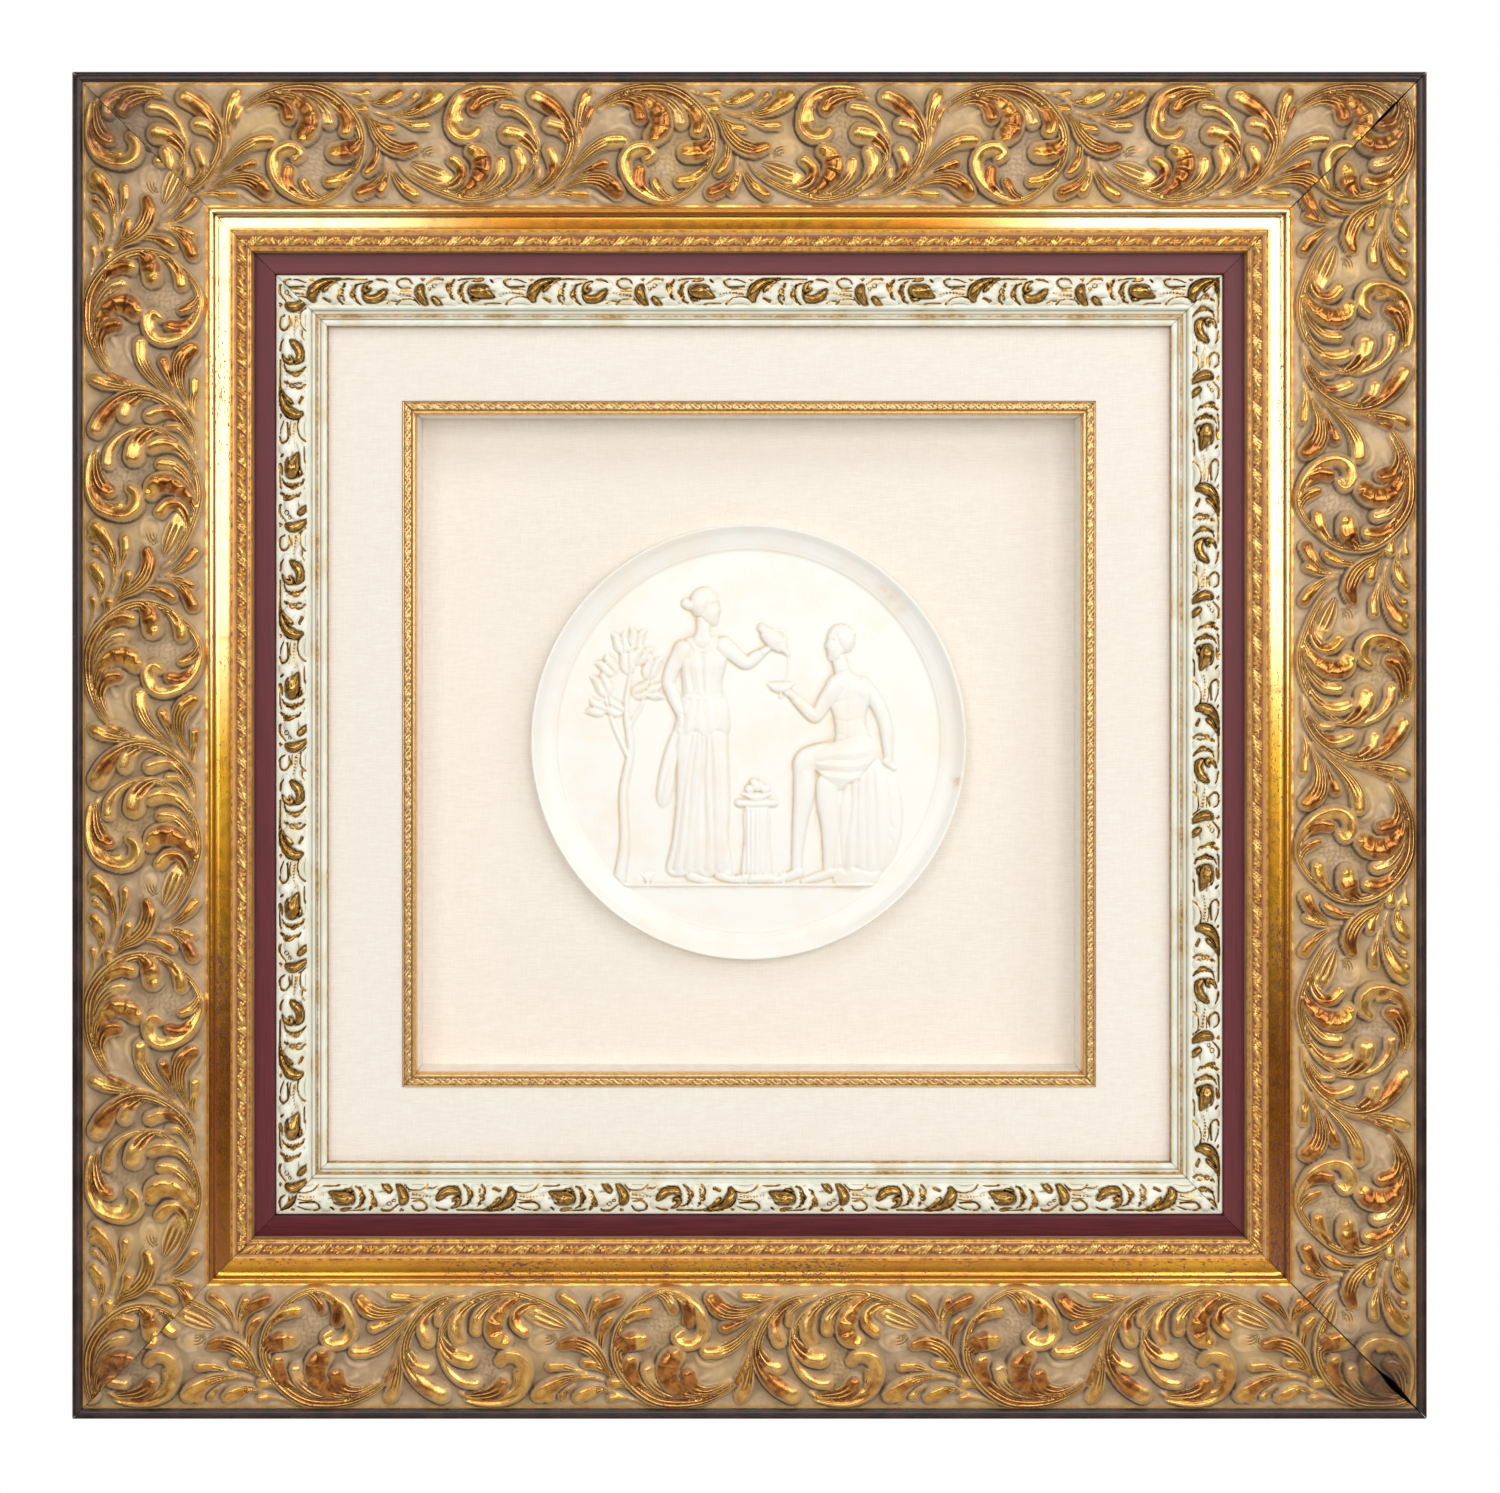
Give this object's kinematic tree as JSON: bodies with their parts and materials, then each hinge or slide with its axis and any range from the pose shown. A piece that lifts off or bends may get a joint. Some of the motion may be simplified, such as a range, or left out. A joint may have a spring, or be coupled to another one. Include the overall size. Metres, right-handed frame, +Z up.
{
  "type": "framed relief roundel",
  "caption": "Square shadow-box picture frame with carved scroll moulding, linen mat and a round white low-relief plaque, for hanging flat on a wall.",
  "frame": {"origin": "on the flat back of the top outer rail, midway along it, where the frame hangs on a wall", "axes": "+Z up, +X to the right seen from the front, the carved front faces -Y, the back lies in y = 0"},
  "size_m": [0.914, 0.0699, 0.909],
  "materials": {
    "gilt_scroll": "carved and gilded wood and composition, antiqued, with a black outer edge",
    "burgundy": "satin burgundy paint",
    "white_gilt": "white paint over olive gilding, rubbed",
    "linen": "cream linen glued over board",
    "fillet_gilt": "pale gilding",
    "bisque": "white bisque with a faint satin sheen and small stains"
  },
  "bodies": {
    "root": {"outer_rail_top": "gilt_scroll", "outer_rail_right": "gilt_scroll", "outer_rail_bottom": "gilt_scroll", "outer_rail_left": "gilt_scroll", "slip_rail_top": "burgundy", "slip_rail_right": "burgundy", "slip_rail_bottom": "burgundy", "slip_rail_left": "burgundy", "inner_rail_top": "white_gilt", "inner_rail_right": "white_gilt", "inner_rail_bottom": "white_gilt", "inner_rail_left": "white_gilt", "linen_mat": "linen", "backing_board": "linen", "box_wall_top": "linen", "box_wall_right": "linen", "box_wall_bottom": "linen", "box_wall_left": "linen", "fillet_top": "fillet_gilt", "fillet_right": "fillet_gilt", "fillet_bottom": "fillet_gilt", "fillet_left": "fillet_gilt", "roundel": "bisque"}
  },
  "joints": []
}
